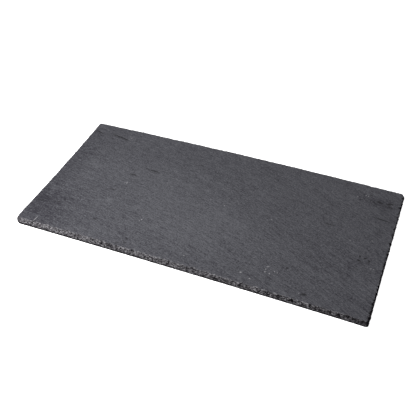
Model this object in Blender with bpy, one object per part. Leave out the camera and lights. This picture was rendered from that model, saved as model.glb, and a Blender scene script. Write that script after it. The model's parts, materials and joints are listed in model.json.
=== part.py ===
"""A rectangular slate slab, trimmed by hand, with a knapped edge all round.

The slab is one piece of stone. Its underside is flat and lies at Z = 0, its long side runs along X and its
top is the riven face that the stone split along. Sizes are in metres.
"""

import math
import random

import bmesh
import bpy
from mathutils import Vector, noise
from mathutils.geometry import delaunay_2d_cdt

# Driving dimensions
LENGTH = 0.400
DEPTH = 0.200
THICKNESS = 0.006

# The trimmed outline is a little out of true. A bow is how far a side's middle stands outside its ends.
FRONT_BOW = -0.0010
RIGHT_BOW = 0.0
BACK_BOW = 0.0029
LEFT_BOW = -0.0013
BACK_CORNERS_IN = 0.0022
FRONT_LEFT_RADIUS = 0.0083
FRONT_RIGHT_RADIUS = 0.0025
BACK_RIGHT_RADIUS = 0.0045
BACK_LEFT_RADIUS = 0.0020

# The knapped edge: chips struck off side by side. Each is a slanting scoop, broken by a ledge at a layer.
# The front side's edge is widest at its left end.
FRONT_BEVELS = (0.0040, 0.0029)
RIGHT_BEVEL = 0.0010
BACK_BEVEL = 0.0023
LEFT_BEVEL = 0.0022
BEVEL_WANDER = 0.0003
WANDER_LENGTH = 0.022
CHIP_REACH = 0.008
CHIP_REACH_RADIUS = 0.0015
CHIP_NARROWEST = 0.0024
CHIP_WIDEST = 0.0100
CHIP_USUAL = 0.0034
CHIP_SLANT = 0.0011
STATION_SPACING = 0.0019
STATION_JITTER = 0.25
SCOOP_PER_WIDTH = 0.17
SCOOP_SPREAD = (0.5, 1.5)
FRONT_SCOOPS = 1.0
RIGHT_SCOOPS = 0.8
BACK_SCOOPS = 0.28
LEFT_SCOOPS = 0.18
FOOT_INSETS = (0.0001, 0.0003)
WAIST_INSETS = (0.0, 0.0003)
WAIST_HEIGHTS = (0.12 * THICKNESS, 0.30 * THICKNESS)
LIP_SHARES = (0.12, 0.50)
LIP_HEIGHTS = (0.36 * THICKNESS, 0.74 * THICKNESS)
LEDGE_SHARES = (0.15, 0.60)
LEDGE_RISES = (0.0, 0.50)
FACE_ROUGHNESS = 0.14

# The riven top: broad waves, and shallow scars where a thin flake came away, each deepest along one side.
WAVE_HEIGHT = 0.00022
WAVE_LENGTH = 0.055
TOP_SPACING = 0.0076
TOP_JITTER = 0.0016
TOP_MARGIN = 0.0048
SCAR_STEP_WIDTH = 0.0004
SCAR_POINTS = 14
SCAR_RAGGEDNESS = 0.45
SCAR_STEP_RAGGEDNESS = 0.4
SCAR_LEAST_STEP = 0.1
SCAR_NOISE_LENGTH = 0.0011
SCAR_CLEARANCE = 0.0024

UNDERSIDE_SPACING = 0.040
SEED = 27


class Chip:
    """One scoop out of the edge. A ledge, level or sloping, parts its lower face from its upper one."""

    def __init__(self, dice, start, width):
        self.start = start
        self.width = width
        self.scoop = SCOOP_PER_WIDTH * width * dice.uniform(*SCOOP_SPREAD)
        self.slant = dice.uniform(-CHIP_SLANT, CHIP_SLANT)
        self.waist_height = dice.uniform(*WAIST_HEIGHTS)
        self.lip_height = dice.uniform(*LIP_HEIGHTS)
        self.lip_share = dice.uniform(*LIP_SHARES)
        self.ledge_share = dice.uniform(*LEDGE_SHARES)
        self.ledge_rise = dice.uniform(*LEDGE_RISES)


class Outline:
    """The trimmed outline, as corner arcs and sides in turn, anticlockwise from the front left corner."""

    def __init__(self):
        arcs = [arc_segment(*corner) for corner in corner_arcs()]
        bows = (FRONT_BOW, RIGHT_BOW, BACK_BOW, LEFT_BOW)
        self.segments = []
        for number, (arc, bow) in enumerate(zip(arcs, bows)):
            next_arc = arcs[(number + 1) % len(arcs)]
            self.segments.append(arc)
            self.segments.append(side_segment(arc[1](1), next_arc[1](0), bow))
        self.length = sum(length for length, _ in self.segments)

    def ends(self, distance):
        """The outer and the inner point at a distance along the outline."""
        distance %= self.length
        for length, places in self.segments:
            if distance <= length:
                return places(distance / length)
            distance -= length
        return self.segments[-1][1](1)

    def place(self, distance, inset):
        """The point at a distance along the outline and an inset from it."""
        outer, inner = self.ends(distance)
        return outer.lerp(inner, inset / CHIP_REACH)

    def by_side(self, distance, front, right, back, left):
        """The value of the side that the edge belongs to here, blended round the corners."""
        outer, inner = self.ends(distance)
        facing = (outer - inner).normalized()
        left_or_right = right if facing.x > 0 else left
        front_or_back = back if facing.y > 0 else front
        return left_or_right * facing.x ** 2 + front_or_back * facing.y ** 2

    def bevel(self, distance):
        """How wide the knapped edge is between its scoops, at a distance along the outline."""
        place = self.place(distance, 0)
        front = FRONT_BEVELS[0] + (FRONT_BEVELS[1] - FRONT_BEVELS[0]) * (place.x / LENGTH + 0.5)
        width = self.by_side(distance, front, RIGHT_BEVEL, BACK_BEVEL, LEFT_BEVEL)
        return width + BEVEL_WANDER * wave(place, WANDER_LENGTH)

    def scoop_share(self, distance):
        """How deep the scoops are here."""
        return self.by_side(distance, FRONT_SCOOPS, RIGHT_SCOOPS, BACK_SCOOPS, LEFT_SCOOPS)


class Scar:
    """A shallow hollow in the top where a flake came away, with a step along one side and none opposite."""

    def __init__(self, x, y, length, width, turn, drop):
        self.centre = Vector((x, y))
        self.length = length
        self.width = width
        self.turn = math.radians(turn)
        self.drop = drop

    def loop(self, inward):
        """The scar's ragged outline, moved in by a distance, as a list of points and how deep each lies."""
        points = []
        for number in range(SCAR_POINTS):
            angle = math.tau * number / SCAR_POINTS
            wander = noise.noise(Vector((*self.centre / SCAR_NOISE_LENGTH, 2 * angle)))
            reach = 1 + SCAR_RAGGEDNESS * wander
            along = (self.length / 2 * reach - inward) * math.cos(angle)
            across = (self.width / 2 * reach - inward) * math.sin(angle)
            place = self.centre + turned(along, across, self.turn)
            step = 0.5 + 0.5 * math.sin(angle) + SCAR_STEP_RAGGEDNESS * wander
            depth = self.drop * max(SCAR_LEAST_STEP, step) if inward else 0.0
            points.append((place, depth))
        return points


# Each scar's middle, length, width, turn in degrees and depth.
SCARS = (
    Scar(-0.157, 0.0775, 0.026, 0.0036, 168, 0.00030),
    Scar(-0.0872, 0.0308, 0.020, 0.0036, 177, 0.00040),
    Scar(-0.108, 0.0165, 0.010, 0.0032, 180, 0.00030),
    Scar(-0.0368, 0.0606, 0.014, 0.0032, 186, 0.00030),
    Scar(-0.1205, -0.0160, 0.014, 0.0032, 176, 0.00022),
    Scar(-0.180, -0.0575, 0.024, 0.0070, 185, 0.00016),
    Scar(0.178, 0.0720, 0.022, 0.0080, 172, 0.00030),
    Scar(0.1605, 0.0785, 0.008, 0.0040, 10, 0.00030),
    Scar(0.132, 0.0170, 0.014, 0.0030, 180, 0.00016),
    Scar(0.1765, -0.0205, 0.014, 0.0062, 176, 0.00030),
    Scar(-0.0652, -0.0853, 0.0046, 0.0070, 180, 0.00030),
    Scar(0.1334, -0.0874, 0.0075, 0.0036, 188, 0.00040),
    Scar(0.1079, -0.0604, 0.0030, 0.0028, 180, 0.00035),
)


def clear_scene():
    """Removes what the opened file holds."""
    for thing in list(bpy.data.objects):
        bpy.data.objects.remove(thing)


def turned(x, y, angle):
    """A flat vector turned anticlockwise."""
    return Vector((x * math.cos(angle) - y * math.sin(angle), x * math.sin(angle) + y * math.cos(angle)))


def corner_arcs():
    """The corners, anticlockwise from the front left: place, way into the slab, radius and first angle."""
    half_length = LENGTH / 2
    half_depth = DEPTH / 2
    back = half_depth - BACK_CORNERS_IN
    return (
        (Vector((-half_length, -half_depth)), Vector((1, 1)), FRONT_LEFT_RADIUS, math.pi),
        (Vector((half_length, -half_depth)), Vector((-1, 1)), FRONT_RIGHT_RADIUS, 1.5 * math.pi),
        (Vector((half_length, back)), Vector((-1, -1)), BACK_RIGHT_RADIUS, 0.0),
        (Vector((-half_length, back)), Vector((1, -1)), BACK_LEFT_RADIUS, 0.5 * math.pi),
    )


def arc_segment(corner, inward, radius, first_angle):
    """A corner's quarter turn: its length, and a function from a share of it to its outer and inner point."""

    def places(share):
        spoke = turned(1, 0, first_angle + share * math.pi / 2)
        outer = corner + inward * radius + spoke * radius
        inner = corner + inward * (CHIP_REACH + CHIP_REACH_RADIUS) + spoke * CHIP_REACH_RADIUS
        return outer, inner

    return radius * math.pi / 2, places


def side_segment(start, end, bow):
    """A straight side between two corners' ends, bowed outward, in the same form as arc_segment gives."""
    along = end[0] - start[0]
    outward = Vector((along.y, -along.x)).normalized()

    def places(share):
        swell = outward * bow * (1 - (2 * share - 1) ** 2)
        return start[0].lerp(end[0], share) + swell, start[1].lerp(end[1], share) + swell

    return along.length, places


def strike_chips(dice, total):
    """Chips side by side all round the edge, each stretched a little so that they close the ring."""
    widths = []
    while sum(widths) < total:
        widths.append(dice.triangular(CHIP_NARROWEST, CHIP_WIDEST, CHIP_USUAL))
    stretch = total / sum(widths)
    chips = []
    start = 0.0
    for width in widths:
        chips.append(Chip(dice, start, width * stretch))
        start += width * stretch
    return chips


def wave(place, length):
    """Smooth noise from -1 to 1 that changes over about the given length."""
    return noise.noise(Vector((*place, 0.0)) / length)


def top_height(place):
    """The height of the riven face above the underside."""
    return THICKNESS + WAVE_HEIGHT * wave(place, WAVE_LENGTH)


def station_courses(dice, outline, distance, scoop, chips):
    """The knapped edge's profile at one place, as five points from the underside's rim to the top's rim.

    The profile is that of the chip that it lies in, or the mean of the two that meet on a ridge.
    """

    def usual(name):
        return sum(getattr(chip, name) for chip in chips) / len(chips)

    def rough(name):
        return usual(name) * dice.uniform(1 - FACE_ROUGHNESS, 1 + FACE_ROUGHNESS)

    bite = outline.bevel(distance) + scoop * outline.scoop_share(distance)
    lip = bite * rough("lip_share")
    lip_height = rough("lip_height")
    ledge = lip + (bite - lip) * rough("ledge_share")
    ledge_height = lip_height + (THICKNESS - lip_height) * rough("ledge_rise")
    courses = (
        (dice.uniform(*FOOT_INSETS), 0.0),
        (dice.uniform(*WAIST_INSETS), rough("waist_height")),
        (lip, lip_height),
        (ledge, ledge_height),
    )
    slant = usual("slant")
    profile = []
    for inset, height in courses:
        profile.append((*outline.place(distance + slant * height / THICKNESS, inset), height))
    rim = outline.place(distance + slant, bite)
    profile.append((*rim, top_height(rim)))
    return profile


def edge_stations(dice):
    """The profiles round the whole edge: a ridge at each chip's start and one or more places in its scoop."""
    outline = Outline()
    chips = strike_chips(dice, outline.length)
    stations = []
    for number, chip in enumerate(chips):
        stations.append(station_courses(dice, outline, chip.start, 0.0, (chips[number - 1], chip)))
        inside = max(1, round(chip.width / STATION_SPACING) - 1)
        for step in range(inside):
            share = (step + 1 + dice.uniform(-STATION_JITTER, STATION_JITTER)) / (inside + 1)
            scoop = chip.scoop * math.sin(math.pi * share)
            stations.append(station_courses(dice, outline, chip.start + share * chip.width, scoop, (chip,)))
    return stations


def extrude_ring(bm, ring, places):
    """A closed edge loop extruded to its next course, with every new vertex at its own place."""
    edges = [bm.edges.get(pair) for pair in zip(ring, ring[1:] + ring[:1])]
    made = bmesh.ops.extrude_edge_only(bm, edges=edges)["geom"]
    fresh = {thing for thing in made if isinstance(thing, bmesh.types.BMVert)}
    above = [next(e.other_vert(v) for e in v.link_edges if e.other_vert(v) in fresh) for v in ring]
    for vertex, place in zip(above, places):
        vertex.co = place
    return above


def inside_points(spacing, jitter, margin, dice):
    """Points on a loose grid over the slab, no nearer to its outline than the margin."""
    columns = round((LENGTH - 2 * margin) / spacing)
    rows = round((DEPTH - 2 * margin) / spacing)
    points = []
    for column in range(columns + 1):
        for row in range(rows + 1):
            x = (column / columns - 0.5) * (LENGTH - 2 * margin - spacing)
            y = (row / rows - 0.5) * (DEPTH - 2 * margin - spacing)
            points.append(Vector((x + dice.uniform(-jitter, jitter), y + dice.uniform(-jitter, jitter))))
    return points


def near_scar(place):
    """Whether a place of the top is in a scar or close round it."""
    for scar in SCARS:
        offset = place - scar.centre
        along = offset @ turned(1, 0, scar.turn)
        across = offset @ turned(0, 1, scar.turn)
        half_length = scar.length / 2 * (1 + SCAR_RAGGEDNESS) + SCAR_CLEARANCE
        half_width = scar.width / 2 * (1 + SCAR_RAGGEDNESS) + SCAR_CLEARANCE
        if (along / half_length) ** 2 + (across / half_width) ** 2 < 1:
            return True
    return False


def fill_face(bm, ring, loops, points):
    """Closes a ring with triangles that pass through the given loops and points, each as (place, height)."""
    flat = [vertex.co.xy for vertex in ring]
    edges = [(number, (number + 1) % len(ring)) for number in range(len(ring))]
    vertices = list(ring)
    for loop in loops:
        first = len(flat)
        edges += [(first + number, first + (number + 1) % len(loop)) for number in range(len(loop))]
        flat += [place for place, _ in loop]
        vertices += [bm.verts.new((*place, height)) for place, height in loop]
    flat += [place for place, _ in points]
    vertices += [bm.verts.new((*place, height)) for place, height in points]
    inside_only = 1
    triangles = delaunay_2d_cdt(flat, edges, [list(range(len(ring)))], inside_only, 1e-6)[2]
    for triangle in triangles:
        bm.faces.new([vertices[number] for number in triangle])


def scar_loops():
    """Each scar's lip and the foot of its step, as loops of (place, height)."""
    loops = []
    for scar in SCARS:
        for inward in (0.0, SCAR_STEP_WIDTH):
            loops.append([(place, top_height(place) - depth) for place, depth in scar.loop(inward)])
    return loops


def rest_centred(bm):
    """Moves the slab so that the middle of its box stands over the origin, with its underside at Z = 0."""
    lowest = Vector([min(vertex.co[axis] for vertex in bm.verts) for axis in range(3)])
    highest = Vector([max(vertex.co[axis] for vertex in bm.verts) for axis in range(3)])
    middle = (lowest + highest) / 2
    bmesh.ops.translate(bm, verts=bm.verts, vec=(-middle.x, -middle.y, -lowest.z))


def slate():
    """Dull blue-grey slate."""
    material = bpy.data.materials.new("slate")
    material.use_nodes = True
    shader = material.node_tree.nodes["Principled BSDF"]
    shader.inputs["Base Color"].default_value = (0.085, 0.085, 0.098, 1)
    shader.inputs["Roughness"].default_value = 0.62
    shader.inputs["Metallic"].default_value = 0.0
    return material


def build_slab():
    """The slab: the knapped edge, course by course from the underside up, then the underside and the top."""
    dice = random.Random(SEED)
    courses = list(zip(*edge_stations(dice)))
    bm = bmesh.new()
    foot = [bm.verts.new(place) for place in courses[0]]
    for pair in zip(foot, foot[1:] + foot[:1]):
        bm.edges.new(pair)
    ring = foot
    for places in courses[1:]:
        ring = extrude_ring(bm, ring, places)
    underside = inside_points(UNDERSIDE_SPACING, 0.0, UNDERSIDE_SPACING / 2, dice)
    fill_face(bm, foot, [], [(place, 0.0) for place in underside])
    top = inside_points(TOP_SPACING, TOP_JITTER, TOP_MARGIN, dice)
    fill_face(bm, ring, scar_loops(), [(place, top_height(place)) for place in top if not near_scar(place)])
    rest_centred(bm)
    bmesh.ops.recalc_face_normals(bm, faces=bm.faces)
    mesh = bpy.data.meshes.new("slab")
    bm.to_mesh(mesh)
    bm.free()
    mesh.materials.append(slate())
    slab = bpy.data.objects.new("slab", mesh)
    bpy.context.scene.collection.objects.link(slab)


clear_scene()
build_slab()
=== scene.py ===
"""The looks of a rectangular slate slab: its riven top, its knapped edge and the plain studio round it.

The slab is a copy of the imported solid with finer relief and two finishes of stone. Sizes are in metres.
"""

import json
import math

import bpy
from mathutils import Matrix, Vector

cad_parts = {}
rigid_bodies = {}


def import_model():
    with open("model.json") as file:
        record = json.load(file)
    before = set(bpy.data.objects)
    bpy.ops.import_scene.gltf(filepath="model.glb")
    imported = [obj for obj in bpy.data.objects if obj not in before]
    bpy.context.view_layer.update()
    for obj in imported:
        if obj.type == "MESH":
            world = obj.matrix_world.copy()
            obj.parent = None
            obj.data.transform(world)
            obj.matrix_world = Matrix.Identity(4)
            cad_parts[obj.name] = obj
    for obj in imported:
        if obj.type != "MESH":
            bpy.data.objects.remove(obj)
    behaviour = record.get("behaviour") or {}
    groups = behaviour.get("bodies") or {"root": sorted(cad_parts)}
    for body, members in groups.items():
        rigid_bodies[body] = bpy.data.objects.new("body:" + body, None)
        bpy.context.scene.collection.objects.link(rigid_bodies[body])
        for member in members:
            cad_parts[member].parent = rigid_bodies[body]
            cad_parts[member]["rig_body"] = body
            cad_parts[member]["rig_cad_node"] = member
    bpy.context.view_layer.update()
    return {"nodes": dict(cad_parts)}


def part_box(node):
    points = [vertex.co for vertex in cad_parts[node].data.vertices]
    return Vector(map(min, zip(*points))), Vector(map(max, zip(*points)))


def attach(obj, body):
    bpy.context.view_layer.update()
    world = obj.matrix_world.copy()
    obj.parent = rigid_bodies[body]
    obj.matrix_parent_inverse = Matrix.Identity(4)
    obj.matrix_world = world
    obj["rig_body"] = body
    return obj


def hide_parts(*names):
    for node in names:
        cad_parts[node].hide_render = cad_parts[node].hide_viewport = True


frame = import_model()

# The solid's own sizes
LOW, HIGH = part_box("slab")
LENGTH = HIGH.x - LOW.x
DEPTH = HIGH.y - LOW.y
THICKNESS = 0.006

# Where the knapped edge lies on the solid
EDGE_REACH = 0.0085
EDGE_TOP = THICKNESS - 0.00035

# How the solid's skin is merged, how many cuts each of its sides gets and how it is shaded
MERGE_DISTANCE = 0.00001
CUTS = 3
SHARP_ANGLE = math.radians(24)

# How much of the edge's relief each place takes: little at the foot, all from a certain height up, and less
# on the back and left sides, which are trimmed straighter
FOOT_RELIEF = 0.05
FULL_RELIEF_HEIGHT = 0.0025
RIM_RELIEF = 0.6
STRAIGHT_SIDE_RELIEF = 0.35
STRAIGHT_RIM_RELIEF = 0.10

# Layers of relief: surface, texture, strength, the texture's middle, sizes of its grain and turn in degrees
RELIEF = (
    ("edge", "facets", 0.0012, 0.80, (0.0034, 0.0034, 0.0026), 33),
    ("edge", "facets", 0.0008, 0.80, (0.0017, 0.0017, 0.0010), -20),
    ("edge", "grit", 0.0006, 0.50, (0.0060, 0.0060, 0.0004), 0),
    ("top", "grit", 0.0002, 1.00, (0.020, 0.008, 0.010), -18),
)

# Material slots on the piece
RIVEN = 0
KNAPPED = 1

# Stone colours, as linear light
RIVEN_DARK = (0.0242, 0.0229, 0.0303, 1)
RIVEN_LIGHT = (0.132, 0.1345, 0.1467, 1)
# Painted shade in the cracks' crevices
CRACK_SHADE = (0.010, 0.0097, 0.0105, 1)
FLECK = (0.340, 0.338, 0.345, 1)
KNAPPED_DARK = (0.0107, 0.0094, 0.0116, 1)
KNAPPED_USUAL = (0.0700, 0.0663, 0.0730, 1)
KNAPPED_LIGHT = (0.272, 0.2655, 0.2760, 1)

# Marks on the riven face: each one's middle, length, width, turn in degrees and strength
MARK_DEPTH = 0.003
# Cracks, darkened with painted shade in their crevices
SHADED_CRACKS = (
    (-0.1560, 0.0772, 0.0360, 0.0024, -10, 0.90),
    (-0.1680, 0.0808, 0.0120, 0.0018, -8, 0.60),
    (-0.1885, 0.0775, 0.0180, 0.0027, -18, 0.80),
    (-0.0870, 0.0311, 0.0200, 0.0028, -3, 0.75),
    (-0.0965, 0.0318, 0.0100, 0.0016, -4, 0.60),
    (-0.1080, 0.0165, 0.0120, 0.0028, 0, 0.70),
    (-0.0375, 0.0608, 0.0146, 0.0018, 6, 0.45),
    (-0.1190, -0.0161, 0.0140, 0.0022, -2, 0.55),
    (-0.1136, -0.0680, 0.0080, 0.0029, 5, 0.70),
    (-0.1840, -0.0560, 0.0260, 0.0050, 4, 0.15),
    (-0.1670, -0.0576, 0.0090, 0.0026, 12, 0.60),
    (-0.1885, -0.0630, 0.0180, 0.0024, 24, 0.55),
    (-0.1880, -0.0500, 0.0130, 0.0020, 8, 0.35),
    (-0.1540, -0.0482, 0.0120, 0.0018, -4, 0.40),
    (-0.1620, -0.0525, 0.0045, 0.0024, 0, 0.55),
    (-0.1495, -0.0530, 0.0050, 0.0018, 0, 0.40),
    (-0.0657, -0.0827, 0.0034, 0.0034, 0, 0.60),
    (-0.0646, -0.0880, 0.0034, 0.0034, 0, 0.60),
    (-0.0729, -0.0915, 0.0067, 0.0026, 12, 0.60),
    (0.1320, 0.0172, 0.0180, 0.0022, 0, 0.70),
    (0.1730, -0.0180, 0.0030, 0.0042, 0, 0.85),
    (0.1729, -0.0238, 0.0042, 0.0030, 0, 0.85),
    (0.1786, -0.0190, 0.0045, 0.0030, 0, 0.85),
    (0.1833, -0.0216, 0.0030, 0.0046, 20, 0.85),
    (0.1075, -0.0604, 0.0032, 0.0031, 0, 0.85),
    (0.1330, -0.0878, 0.0078, 0.0034, 6, 0.85),
    (0.1643, 0.0799, 0.0060, 0.0022, 10, 0.75),
    (0.1536, 0.0687, 0.0050, 0.0029, 0, 0.65),
    (0.1757, 0.0718, 0.0110, 0.0036, -12, 0.80),
    (0.1868, 0.0725, 0.0110, 0.0050, 20, 0.75),
    (0.1885, 0.0675, 0.0100, 0.0030, -30, 0.60),
    (0.1840, 0.0445, 0.0280, 0.0024, -8, 0.80),
    (0.1120, 0.0856, 0.0034, 0.0023, 0, 0.60),
)
SPECKS = (
    (-0.1086, -0.0001, 0.0014, 0.0036, 15, 0.90),
    (-0.1111, -0.0010, 0.0010, 0.0018, 0, 0.80),
    (-0.0643, -0.0500, 0.0018, 0.0026, -10, 0.80),
    (-0.0657, -0.0527, 0.0012, 0.0014, 0, 0.80),
    (-0.1436, 0.0799, 0.0016, 0.0022, 0, 0.60),
    (-0.1467, 0.0830, 0.0012, 0.0020, 0, 0.60),
    (-0.1480, 0.0880, 0.0014, 0.0020, 0, 0.50),
    (0.0017, -0.0830, 0.0013, 0.0018, 0, 0.70),
    (0.0136, 0.0041, 0.0014, 0.0020, 0, 0.75),
    (0.0142, 0.0170, 0.0012, 0.0016, 0, 0.50),
    (0.0703, 0.0016, 0.0024, 0.0022, 30, 0.45),
    (0.0886, -0.0659, 0.0040, 0.0012, 10, 0.85),
    (0.0876, -0.0700, 0.0014, 0.0022, 0, 0.85),
    (0.0879, -0.0737, 0.0022, 0.0018, 0, 0.85),
    (0.0929, -0.0744, 0.0020, 0.0018, 20, 0.85),
    (0.0969, -0.0699, 0.0014, 0.0018, 0, 0.85),
    (0.1000, -0.0704, 0.0012, 0.0016, 0, 0.70),
    (0.0650, -0.0834, 0.0030, 0.0018, 0, 0.85),
    (0.0764, -0.0880, 0.0028, 0.0016, -20, 0.85),
    (0.1279, -0.0884, 0.0014, 0.0016, 0, 0.70),
    (0.1580, 0.0012, 0.0014, 0.0022, 20, 0.50),
    (0.1800, 0.0085, 0.0014, 0.0022, 30, 0.40),
    (0.1586, 0.0784, 0.0016, 0.0026, 0, 0.70),
    (0.1614, 0.0777, 0.0012, 0.0026, 0, 0.70),
    (0.1500, 0.0730, 0.0024, 0.0024, 30, 0.40),
    (0.1871, -0.0309, 0.0014, 0.0018, 0, 0.60),
    (0.1897, -0.0309, 0.0012, 0.0018, 0, 0.60),
    (-0.1762, -0.0915, 0.0011, 0.0110, -6, 0.75),
)

# Broad lighter and darker areas of the riven face
AREAS = (
    (-0.045, -0.018, 0.320, 0.150, -14, 0.15),
    (-0.210, -0.075, 0.220, 0.150, 0, -0.34),
    (-0.210, 0.025, 0.120, 0.200, 0, -0.22),
    (-0.183, -0.0565, 0.044, 0.014, 4, -0.12),
    (0.178, 0.071, 0.056, 0.026, -8, -0.24),
    (0.045, 0.084, 0.060, 0.014, -6, -0.12),
    (-0.058, 0.088, 0.034, 0.012, 0, -0.09),
    (0.094, -0.081, 0.014, 0.012, 0, -0.10),
    (0.054, 0.035, 0.034, 0.006, -32, 0.14),
    (-0.140, -0.066, 0.050, 0.014, -22, 0.09),
    (-0.165, 0.018, 0.040, 0.020, -6, 0.16),
    (-0.113, -0.035, 0.018, 0.012, -15, 0.18),
    (-0.079, -0.034, 0.016, 0.010, -10, 0.18),
    (-0.010, 0.052, 0.030, 0.016, -20, -0.08),
    (-0.105, -0.030, 0.170, 0.110, 0, -0.06),
)

# Stretches of the knapped edge darkened with painted shade, also marks: both front corners and one right of
# the middle
PAINTED_SHADE_STRETCHES = (
    (-0.1985, -0.0985, 0.014, 0.012, 0, 0.80),
    (0.193, -0.0985, 0.026, 0.008, 0, 0.45),
    (0.060, -0.1000, 0.070, 0.007, 0, 0.30),
)
STRETCH_DEPTH = 0.02

# Painted shade in the hollows under the front edge's rim: each one's place along the edge, height, length
# and strength
FRONT_HOLLOW_SHADES = (
    (-0.0520, 0.0041, 0.0040, 0.80),
    (-0.0335, 0.0034, 0.0050, 0.80),
    (-0.0190, 0.0041, 0.0065, 0.80),
    (-0.0045, 0.0044, 0.0065, 0.80),
    (0.0095, 0.0043, 0.0095, 0.90),
    (0.0240, 0.0056, 0.0030, 0.90),
    (0.0425, 0.0036, 0.0105, 0.80),
    (0.0535, 0.0040, 0.0055, 0.80),
    (0.0770, 0.0034, 0.0065, 0.70),
    (0.0950, 0.0050, 0.0040, 0.70),
    (0.1075, 0.0046, 0.0085, 0.90),
    (0.1215, 0.0045, 0.0100, 1.00),
    (0.1530, 0.0036, 0.0065, 0.70),
    (0.1615, 0.0037, 0.0065, 0.90),
    (0.1695, 0.0043, 0.0045, 0.80),
    (0.1800, 0.0041, 0.0065, 0.90),
    (0.1865, 0.0041, 0.0055, 0.90),
    (0.1945, 0.0050, 0.0080, 0.95),
)
HOLLOW_HEIGHT = 0.0026
HOLLOW_REACH = 0.012

# Sizes of the riven face's grains, along and across their sweep and in depth
MOTTLE = (0.030, 0.012, 0.030)
STREAKS = (0.045, 0.0030, 0.010)
THREADS = (0.0100, 0.0010, 0.0030)
GRIT = (0.0017, 0.0013, 0.0014)
GLINTS = (0.0020, 0.0010, 0.0013)
STRIATIONS = (0.040, 0.0014, 0.010)

# How much each but the last counts in the face's tone, and what brings their sum to the middle of its range
MOTTLE_SHARE = 0.25
STREAK_SHARE = 0.3
THREAD_SHARE = 1.2
GRIT_SHARE = 1.9
GLINT_SHARE = 0.6
MIDDLE_TONE = -1.34

# The grain sweeps across the top, from nearly along the long side on the left to well across it on the right
GRAIN_SLOPE = 0.34
GRAIN_CURVE = 0.58

# Raggedness of the cracks' outlines and of the broken stone's, as sizes of grain and reach
CRACK_RAGGED = (0.0020, 0.0011)
STONE_RAGGED = (0.0012, 0.0010)
HOLLOW_RAGGED = (0.0012, 0.0005)

# Sizes of the knapped edge's grains
EDGE_FACETS = (0.0019, 0.0019, 0.0005)
EDGE_GRIT = (0.0012, 0.0012, 0.0005)
EDGE_HOLLOWS = (0.0052, 0.0052, 0.0007)
EDGE_NOTCHES = (0.0060, 0.0032, 0.0030)
EDGE_CRUSHED = (0.0024, 0.0024, 0.0024)

# Where along the slab the left side's stone ends, the painted shade in the hollows comes in and the right
# side's stone begins
LEFT_SIDE = (-0.197, -0.193)
HOLLOWS_COME_IN = (-0.15, 0.10)
RIGHT_SIDE = (0.1955, 0.1970)

# How high the crushed rim with its painted highlight begins and the painted shade along the foot ends, and
# how fast the end of that shade sinks towards the right
RIM_BEGINS = (0.0055, 0.0059)
FOOT_ENDS = (0.0013, 0.0022)
FOOT_SLOPE = 0.0022

# The photograph's camera
CAMERA_PLACE = (0.21011, -0.49601, 0.50254)
CAMERA_AZIMUTH = math.radians(23.463)
CAMERA_ELEVATION = math.radians(42.931)
CAMERA_ROLL = math.radians(-1.661)
LENS = 55.87
SENSOR = 36.0

# The table top, a hair under the slab
TABLE_SIZE = 12
TABLE_DROP = 0.0002

# The studio's light: two soft boxes, a faint tinted sky, and the white that shows past the table
LIGHT_SIZE = 0.4
FRONT_LEFT_PLACE = (-0.463, -0.463, 0.459)
FRONT_LEFT_POWER = 9.1
BEHIND_PLACE = (0, 0.655, 0.459)
BEHIND_POWER = 0.65
SKY = 0.17
SKY_TINT = (1.0, 0.96, 1.06, 1)
HORIZON = 1.1


def select_only(piece):
    """Makes one object the only selected one and the active one."""
    bpy.ops.object.select_all(action="DESELECT")
    piece.select_set(True)
    bpy.context.view_layer.objects.active = piece


def copied_slab():
    """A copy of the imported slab, with its loose triangles merged into one skin."""
    select_only(frame["nodes"]["slab"])
    bpy.ops.object.duplicate()
    piece = bpy.context.active_object
    piece.name = "slate_slab"
    piece.parent = None
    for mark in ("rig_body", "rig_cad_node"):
        del piece[mark]
    bpy.ops.object.mode_set(mode="EDIT")
    bpy.ops.mesh.select_all(action="SELECT")
    bpy.ops.mesh.remove_doubles(threshold=MERGE_DISTANCE)
    bpy.ops.object.mode_set(mode="OBJECT")
    return piece


def on_knapped_edge(piece, face):
    """Whether a face of the solid is part of the knapped edge: near a side, and below the top."""
    near_side = abs(face.center.x) > LENGTH / 2 - EDGE_REACH or abs(face.center.y) > DEPTH / 2 - EDGE_REACH
    heights = [piece.data.vertices[number].co.z for number in face.vertices]
    return near_side and min(heights) < EDGE_TOP and max(heights) > MERGE_DISTANCE


def part_edge_from_faces(piece, riven, knapped):
    """Gives the knapped edge its own material."""
    piece.data.materials.clear()
    piece.data.materials.append(riven)
    piece.data.materials.append(knapped)
    for face in piece.data.polygons:
        face.material_index = KNAPPED if on_knapped_edge(piece, face) else RIVEN


def refine(piece):
    """Cuts every face of the skin finely enough to carry the stone's relief."""
    bpy.ops.object.mode_set(mode="EDIT")
    bpy.ops.mesh.select_all(action="SELECT")
    bpy.ops.mesh.subdivide(number_cuts=CUTS)
    bpy.ops.object.mode_set(mode="OBJECT")


def edge_relief(place, on_rim):
    """How much of the relief a point of the edge takes."""
    straight = place.x < -LENGTH / 2 + EDGE_REACH or place.y > DEPTH / 2 - EDGE_REACH
    side_share = STRAIGHT_SIDE_RELIEF if straight else 1.0
    if on_rim:
        return STRAIGHT_RIM_RELIEF if straight else RIM_RELIEF
    return (FOOT_RELIEF + (1 - FOOT_RELIEF) * min(1, place.z / FULL_RELIEF_HEIGHT)) * side_share


def group_surfaces(piece):
    """Names the two surfaces that get relief: the edge between its two rims, and the top inside its rim."""
    points = piece.data.vertices
    edge = set()
    flat = set()
    for face in piece.data.polygons:
        (edge if face.material_index == KNAPPED else flat).update(face.vertices)
    edge_group = piece.vertex_groups.new(name="edge")
    top_group = piece.vertex_groups.new(name="top")
    for number, point in enumerate(points):
        if point.co.z < MERGE_DISTANCE:
            continue
        if number in edge:
            edge_group.add([number], edge_relief(point.co, number in flat), "REPLACE")
        else:
            top_group.add([number], 1.0, "REPLACE")


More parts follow.
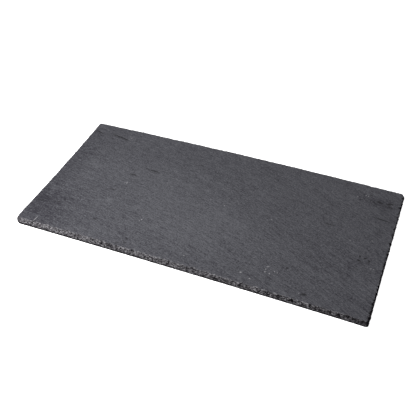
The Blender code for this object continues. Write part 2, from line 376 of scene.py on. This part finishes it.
def displace(piece, group, texture, strength, middle, sizes, turn):
    """Moves a named surface along its normals by a texture whose grain has the given sizes."""
    bpy.ops.object.empty_add(rotation=(0, 0, turn))
    grain = bpy.context.active_object
    grain.scale = sizes
    bpy.context.view_layer.update()
    select_only(piece)
    modifier = piece.modifiers.new("relief", "DISPLACE")
    modifier.texture = texture
    modifier.texture_coords = "OBJECT"
    modifier.texture_coords_object = grain
    modifier.vertex_group = group
    modifier.strength = strength
    modifier.mid_level = middle
    bpy.ops.object.modifier_apply(modifier=modifier.name)
    bpy.data.objects.remove(grain)


def facet_texture():
    """Cells with flat sides that meet in crisp ridges, as breaks in stone do."""
    texture = bpy.data.textures.new("facets", "VORONOI")
    texture.noise_scale = 1.0
    texture.distance_metric = "MANHATTAN"
    texture.noise_intensity = 1.0
    return texture


def grit_texture():
    """Soft noise with two finer layers."""
    texture = bpy.data.textures.new("grit", "CLOUDS")
    texture.noise_scale = 1.0
    texture.noise_depth = 2
    return texture


def hold_between_faces(piece):
    """Keeps the relief between the flat underside and the highest point of the top."""
    for vertex in piece.data.vertices:
        vertex.co.z = min(max(vertex.co.z, LOW.z), HIGH.z)


def carve_relief(piece):
    """The relief that the solid is too coarse for: facets and thin layers on the edge, waves on the top."""
    textures = {"facets": facet_texture(), "grit": grit_texture()}
    for surface, texture, strength, middle, sizes, turn in RELIEF:
        displace(piece, surface, textures[texture], strength, middle, sizes, math.radians(turn))
    hold_between_faces(piece)


def feed(tree, socket, value):
    """Links a socket to another or sets it to a plain value."""
    if isinstance(value, bpy.types.NodeSocket):
        tree.links.new(value, socket)
    else:
        socket.default_value = value


def maths(tree, operation, first, second):
    """The result of one sum on sockets or numbers."""
    node = tree.nodes.new("ShaderNodeMath")
    node.operation = operation
    feed(tree, node.inputs[0], first)
    feed(tree, node.inputs[1], second)
    return node.outputs[0]


def stretched(tree, coords, sizes):
    """Coordinates that count in grains of the given sizes."""
    node = tree.nodes.new("ShaderNodeMapping")
    node.inputs["Scale"].default_value = [1 / size for size in sizes]
    tree.links.new(coords, node.inputs["Vector"])
    return node.outputs["Vector"]


def noise(tree, coords, sizes, detail, roughness):
    """Noise from 0 to 1 whose grains have the given sizes."""
    node = tree.nodes.new("ShaderNodeTexNoise")
    node.inputs["Scale"].default_value = 1.0
    node.inputs["Detail"].default_value = detail
    node.inputs["Roughness"].default_value = roughness
    tree.links.new(stretched(tree, coords, sizes), node.inputs["Vector"])
    return node.outputs["Fac"]


def spread(tree, value, low, high, to_low=0.0, to_high=1.0, smooth=False):
    """A value's range stretched to another and held between its ends."""
    node = tree.nodes.new("ShaderNodeMapRange")
    node.interpolation_type = "SMOOTHSTEP" if smooth else "LINEAR"
    tree.links.new(value, node.inputs["Value"])
    for name, number in zip(("From Min", "From Max", "To Min", "To Max"), (low, high, to_low, to_high)):
        node.inputs[name].default_value = number
    return node.outputs["Result"]


def mixed(tree, share, first, second):
    """Two colours mixed by a share."""
    node = tree.nodes.new("ShaderNodeMix")
    node.data_type = "RGBA"
    feed(tree, node.inputs["Factor"], share)
    feed(tree, node.inputs[6], first)
    feed(tree, node.inputs[7], second)
    return node.outputs[2]


def bumped(tree, height, distance):
    """A surface normal that follows a height."""
    node = tree.nodes.new("ShaderNodeBump")
    node.inputs["Strength"].default_value = 1.0
    node.inputs["Distance"].default_value = distance
    tree.links.new(height, node.inputs["Height"])
    return node.outputs["Normal"]


def new_material(name):
    """A material with its shader, its node tree and the object's own coordinates."""
    material = bpy.data.materials.new(name)
    material.use_nodes = True
    tree = material.node_tree
    shader = tree.nodes["Principled BSDF"]
    coords = tree.nodes.new("ShaderNodeTexCoord").outputs["Object"]
    return material, tree, shader, coords


def swept(tree, coords):
    """Coordinates that follow the sweep of the grain: the second runs across it."""
    parts = tree.nodes.new("ShaderNodeSeparateXYZ")
    tree.links.new(coords, parts.inputs["Vector"])
    slope = maths(tree, "MULTIPLY_ADD", parts.outputs["X"], GRAIN_CURVE)
    slope.node.inputs[2].default_value = GRAIN_SLOPE
    rise = maths(tree, "MULTIPLY", parts.outputs["X"], slope)
    across = maths(tree, "ADD", parts.outputs["Y"], rise)
    joined = tree.nodes.new("ShaderNodeCombineXYZ")
    tree.links.new(parts.outputs["X"], joined.inputs["X"])
    tree.links.new(across, joined.inputs["Y"])
    tree.links.new(parts.outputs["Z"], joined.inputs["Z"])
    return joined.outputs["Vector"]


def ragged(tree, coords, size, reach):
    """Coordinates pushed about by noise, so that what is drawn on them has a ragged outline."""
    node = tree.nodes.new("ShaderNodeTexNoise")
    node.inputs["Scale"].default_value = 1.0
    node.inputs["Detail"].default_value = 2.0
    tree.links.new(stretched(tree, coords, (size, size, size)), node.inputs["Vector"])
    centred = tree.nodes.new("ShaderNodeVectorMath")
    centred.operation = "SUBTRACT"
    tree.links.new(node.outputs["Color"], centred.inputs[0])
    centred.inputs[1].default_value = (0.5, 0.5, 0.5)
    scaled = tree.nodes.new("ShaderNodeVectorMath")
    scaled.operation = "SCALE"
    scaled.inputs["Scale"].default_value = reach
    tree.links.new(centred.outputs["Vector"], scaled.inputs[0])
    moved = tree.nodes.new("ShaderNodeVectorMath")
    moved.operation = "ADD"
    tree.links.new(coords, moved.inputs[0])
    tree.links.new(scaled.outputs["Vector"], moved.inputs[1])
    return moved.outputs["Vector"]


def spot(tree, coords, mark, core, depth=MARK_DEPTH, height=THICKNESS):
    """A mark's cover: its strength inside its core, a share of its size, and 0 from its outline on."""
    x, y, length, width, turn, strength = mark
    inside = tree.nodes.new("ShaderNodeMapping")
    inside.vector_type = "TEXTURE"
    inside.inputs["Location"].default_value = (x, y, height)
    inside.inputs["Rotation"].default_value = (0, 0, math.radians(turn))
    inside.inputs["Scale"].default_value = (length / 2, width / 2, depth)
    tree.links.new(coords, inside.inputs["Vector"])
    reach = tree.nodes.new("ShaderNodeVectorMath")
    reach.operation = "LENGTH"
    tree.links.new(inside.outputs["Vector"], reach.inputs[0])
    return spread(tree, reach.outputs["Value"], core, 1.0, strength, 0.0, smooth=True)


def spots(tree, coords, marks, core, depth=MARK_DEPTH):
    """The cover of many marks together."""
    cover = 0.0
    for mark in marks:
        cover = maths(tree, "MAXIMUM", spot(tree, coords, mark, core, depth), cover)
    return cover


def front_hollow_shade(tree, coords):
    """The cover of the painted shade in the front edge's hollows together."""
    cover = 0.0
    for x, height, length, strength in FRONT_HOLLOW_SHADES:
        mark = (x, LOW.y, length, HOLLOW_REACH, 0, strength)
        cover = maths(tree, "MAXIMUM", spot(tree, coords, mark, 0.5, HOLLOW_HEIGHT / 2, height), cover)
    return cover


def striations(tree, coords, grain):
    """Long fine lines along the grain, which show most towards the front right corner."""
    parts = tree.nodes.new("ShaderNodeSeparateXYZ")
    tree.links.new(coords, parts.inputs["Vector"])
    lines = maths(tree, "SUBTRACT", noise(tree, grain, STRIATIONS, 1.0, 0.6), 0.5)
    lines = maths(tree, "MULTIPLY", lines, spread(tree, parts.outputs["X"], 0.00, 0.17, 0.15, 0.6))
    return maths(tree, "MULTIPLY", lines, spread(tree, parts.outputs["Y"], -0.06, 0.02, 1.0, 0.4))


def grained_tone(tree, coords):
    """The riven face's tone: mottled, with fine threads along the grain, grit and a few broad areas."""
    grain = swept(tree, coords)
    mottle = noise(tree, grain, MOTTLE, 3.0, 0.6)
    streaks = noise(tree, grain, STREAKS, 1.0, 0.5)
    threads = noise(tree, grain, THREADS, 1.0, 0.7)
    grit = noise(tree, coords, GRIT, 2.0, 0.8)
    glints = noise(tree, grain, GLINTS, 0.0, 0.5)
    tone = maths(tree, "MULTIPLY_ADD", mottle, MOTTLE_SHARE)
    tone.node.inputs[2].default_value = MIDDLE_TONE
    tone = maths(tree, "ADD", tone, maths(tree, "MULTIPLY", streaks, STREAK_SHARE))
    tone = maths(tree, "ADD", tone, maths(tree, "MULTIPLY", threads, THREAD_SHARE))
    tone = maths(tree, "ADD", tone, maths(tree, "MULTIPLY", grit, GRIT_SHARE))
    tone = maths(tree, "ADD", tone, spread(tree, glints, 0.68, 0.85, 0.0, GLINT_SHARE))
    tone = maths(tree, "ADD", tone, striations(tree, coords, grain))
    for area in AREAS:
        tone = maths(tree, "ADD", tone, spot(tree, coords, area, 0.1))
    return tone, threads, grit


def riven_slate():
    """The face that the stone split along: blue-grey, with sweeping grain, small cracks darkened with
    painted shade in their crevices, and pale specks.
    """
    material, tree, shader, coords = new_material("riven_slate")
    tone, threads, grit = grained_tone(tree, coords)
    shaded_cracks = spots(tree, ragged(tree, coords, *CRACK_RAGGED), SHADED_CRACKS, 0.4)
    specks = spots(tree, coords, SPECKS, 0.5)
    colour = mixed(tree, tone, RIVEN_DARK, RIVEN_LIGHT)
    # Painted shade in the cracks' crevices
    colour = mixed(tree, shaded_cracks, colour, CRACK_SHADE)
    colour = mixed(tree, specks, colour, FLECK)
    tree.links.new(colour, shader.inputs["Base Color"])
    shader.inputs["Specular IOR Level"].default_value = 0.35
    tree.links.new(spread(tree, threads, 0.3, 0.7, 0.55, 0.72), shader.inputs["Roughness"])
    height = maths(tree, "ADD", threads, maths(tree, "MULTIPLY", grit, 0.7))
    height = maths(tree, "SUBTRACT", height, shaded_cracks)
    tree.links.new(bumped(tree, height, 0.00012), shader.inputs["Normal"])
    return material


def cells(tree, coords, sizes):
    """A random tone from 0 to 1 for each of many small facets of the given sizes."""
    node = tree.nodes.new("ShaderNodeTexVoronoi")
    node.inputs["Scale"].default_value = 1.0
    tree.links.new(stretched(tree, coords, sizes), node.inputs["Vector"])
    parts = tree.nodes.new("ShaderNodeSeparateColor")
    tree.links.new(node.outputs["Color"], parts.inputs["Color"])
    return parts.outputs[0]


def broken_stone(tree, coords, grit):
    """The edge's stone: small facets from dark to light, mottled by grit."""
    facets = cells(tree, coords, EDGE_FACETS)
    tone = maths(tree, "ADD", maths(tree, "MULTIPLY", facets, 0.8), maths(tree, "MULTIPLY", grit, 1.2))
    colour = mixed(tree, spread(tree, tone, 0.60, 1.00), KNAPPED_DARK, KNAPPED_USUAL)
    return mixed(tree, spread(tree, tone, 1.00, 1.45), colour, KNAPPED_LIGHT)


def shaded_hollows_and_notches(tree, colour, coords, along, towards_right):
    """A colour with painted shade in the hollows along the layers, growing towards the right, and on the
    right side pale ridges between notches filled with painted shade.
    """
    hollows = noise(tree, coords, EDGE_HOLLOWS, 1.0, 0.6)
    # Painted shade in the hollows, stronger towards the right
    hollow_shade = maths(tree, "MULTIPLY", spread(tree, hollows, 0.52, 0.59, 0.0, 0.85), towards_right)
    colour = mixed(tree, hollow_shade, colour, KNAPPED_DARK)
    # Painted shade in the hollows under the front rim
    colour = mixed(tree, front_hollow_shade(tree, ragged(tree, coords, *HOLLOW_RAGGED)), colour, KNAPPED_DARK)
    notches = noise(tree, coords, EDGE_NOTCHES, 2.0, 0.7)
    right_side = spread(tree, along, *RIGHT_SIDE)
    ridged = maths(tree, "MULTIPLY", spread(tree, notches, 0.50, 0.42, 0.0, 0.5), right_side)
    colour = mixed(tree, ridged, colour, KNAPPED_LIGHT)
    # Painted shade in the notches on the right side
    notch_shade = maths(tree, "MULTIPLY", spread(tree, notches, 0.50, 0.58, 0.0, 0.9), right_side)
    return mixed(tree, notch_shade, colour, KNAPPED_DARK)


def crushed_rim_and_highlight(tree, coords, along, towards_right, height):
    """The cover of the crushed pale stone and painted highlight along the rim, which grows towards the
    right.
    """
    crush_and_highlight = noise(tree, coords, EDGE_CRUSHED, 2.0, 0.7)
    crush_and_highlight = maths(tree, "ADD", crush_and_highlight, maths(tree, "MULTIPLY", towards_right, 0.10))
    crush_and_highlight = maths(tree, "ADD", crush_and_highlight, maths(tree, "MULTIPLY", spread(tree, along, *RIGHT_SIDE), 0.06))
    near_rim = spread(tree, height, *RIM_BEGINS)
    return maths(tree, "MULTIPLY", near_rim, spread(tree, crush_and_highlight, 0.48, 0.60, 0.0, 0.9))


def painted_foot_shade(tree, along, height):
    """The cover of the painted shade along the foot."""
    above_foot = maths(tree, "ADD", height, maths(tree, "MULTIPLY", along, FOOT_SLOPE))
    return spread(tree, above_foot, *FOOT_ENDS, 1.0, 0.0)


def knapped_slate():
    """The broken edge: rough stone of light and dark facets, with painted shade in its hollows, along its
    foot and over a few stretches, and crushed pale stone with a painted highlight at its rim.
    """
    material, tree, shader, coords = new_material("knapped_slate")
    rough = ragged(tree, coords, *STONE_RAGGED)
    parts = tree.nodes.new("ShaderNodeSeparateXYZ")
    tree.links.new(rough, parts.inputs["Vector"])
    along = parts.outputs["X"]
    height = parts.outputs["Z"]
    grit = noise(tree, coords, EDGE_GRIT, 1.0, 0.8)
    towards_right = spread(tree, along, *HOLLOWS_COME_IN, 0.2, 0.9)
    colour = broken_stone(tree, rough, grit)
    colour = shaded_hollows_and_notches(tree, colour, coords, along, towards_right)
    # Crushed pale stone and a painted highlight along the rim
    colour = mixed(tree, crushed_rim_and_highlight(tree, coords, along, towards_right, height), colour, KNAPPED_LIGHT)
    # Painted shade along the foot of the edge
    colour = mixed(tree, painted_foot_shade(tree, along, height), colour, KNAPPED_DARK)
    # Painted shade over the front corners and a stretch right of the middle
    colour = mixed(tree, spots(tree, coords, PAINTED_SHADE_STRETCHES, 0.5, STRETCH_DEPTH), colour, KNAPPED_DARK)
    colour = mixed(tree, spread(tree, along, *LEFT_SIDE, 0.5, 0.0), colour, KNAPPED_USUAL)
    tree.links.new(colour, shader.inputs["Base Color"])
    shader.inputs["Roughness"].default_value = 0.75
    shader.inputs["Specular IOR Level"].default_value = 0.12
    tree.links.new(bumped(tree, grit, 0.0002), shader.inputs["Normal"])
    return material


def build_slab():
    """The slab, in place of the plain solid."""
    piece = copied_slab()
    part_edge_from_faces(piece, riven_slate(), knapped_slate())
    refine(piece)
    group_surfaces(piece)
    carve_relief(piece)
    piece.vertex_groups.clear()
    select_only(piece)
    bpy.ops.object.shade_smooth_by_angle(angle=SHARP_ANGLE)
    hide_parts("slab")
    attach(piece, "root")


def floor():
    """A plain white table top, which sends no light back up at the slab's edge."""
    bpy.ops.mesh.primitive_plane_add(size=TABLE_SIZE, location=(0, 0, -TABLE_DROP))
    table = bpy.context.active_object
    table.name = "floor"
    material = bpy.data.materials.new("white_table")
    material.use_nodes = True
    shader = material.node_tree.nodes["Principled BSDF"]
    shader.inputs["Base Color"].default_value = (0.9, 0.9, 0.9, 1)
    shader.inputs["Roughness"].default_value = 0.9
    shader.inputs["Emission Color"].default_value = (1, 1, 1, 1)
    shader.inputs["Emission Strength"].default_value = 1.0
    table.data.materials.append(material)
    table.visible_diffuse = False
    table.visible_glossy = False


def soft_light(name, place, power):
    """A square soft box that faces the middle of the slab."""
    light = bpy.data.lights.new(name, "AREA")
    light.size = LIGHT_SIZE
    light.energy = power
    lamp = bpy.data.objects.new(name, light)
    lamp.location = place
    lamp.rotation_mode = "QUATERNION"
    lamp.rotation_quaternion = (-Vector(place)).to_track_quat("-Z", "Y")
    bpy.context.scene.collection.objects.link(lamp)


def studio():
    """Soft light from the front left, a little from behind, and a faint even surround."""
    soft_light("front_left", FRONT_LEFT_PLACE, FRONT_LEFT_POWER)
    soft_light("behind", BEHIND_PLACE, BEHIND_POWER)
    world = bpy.data.worlds.new("studio")
    world.use_nodes = True
    tree = world.node_tree
    background = tree.nodes["Background"]
    direction = tree.nodes.new("ShaderNodeSeparateXYZ")
    tree.links.new(tree.nodes.new("ShaderNodeTexCoord").outputs["Generated"], direction.inputs["Vector"])
    share = maths(tree, "MULTIPLY", spread(tree, direction.outputs["Z"], -0.02, 0.02), SKY)
    light = mixed(tree, share, (0, 0, 0, 1), SKY_TINT)
    seen = tree.nodes.new("ShaderNodeLightPath").outputs["Is Camera Ray"]
    tree.links.new(mixed(tree, seen, light, (HORIZON, HORIZON, HORIZON, 1)), background.inputs["Color"])
    background.inputs["Strength"].default_value = 1.0
    scene = bpy.context.scene
    scene.world = world
    scene.view_settings.view_transform = "Standard"
    scene.view_settings.look = "None"


def camera():
    """The photograph's camera."""
    forward = Vector((
        -math.sin(CAMERA_AZIMUTH) * math.cos(CAMERA_ELEVATION),
        math.cos(CAMERA_AZIMUTH) * math.cos(CAMERA_ELEVATION),
        -math.sin(CAMERA_ELEVATION),
    ))
    level = forward.cross(Vector((0, 0, 1))).normalized()
    upright = level.cross(forward)
    right = math.cos(CAMERA_ROLL) * level + math.sin(CAMERA_ROLL) * upright
    up = math.cos(CAMERA_ROLL) * upright - math.sin(CAMERA_ROLL) * level
    lens = bpy.data.cameras.new("camera")
    lens.sensor_width = SENSOR
    lens.lens = LENS
    lens.clip_start = 0.01
    eye = bpy.data.objects.new("camera", lens)
    eye.matrix_world = Matrix.Translation(CAMERA_PLACE) @ Matrix((right, up, -forward)).transposed().to_4x4()
    bpy.context.scene.collection.objects.link(eye)
    bpy.context.scene.camera = eye


camera()
floor()
studio()
build_slab()
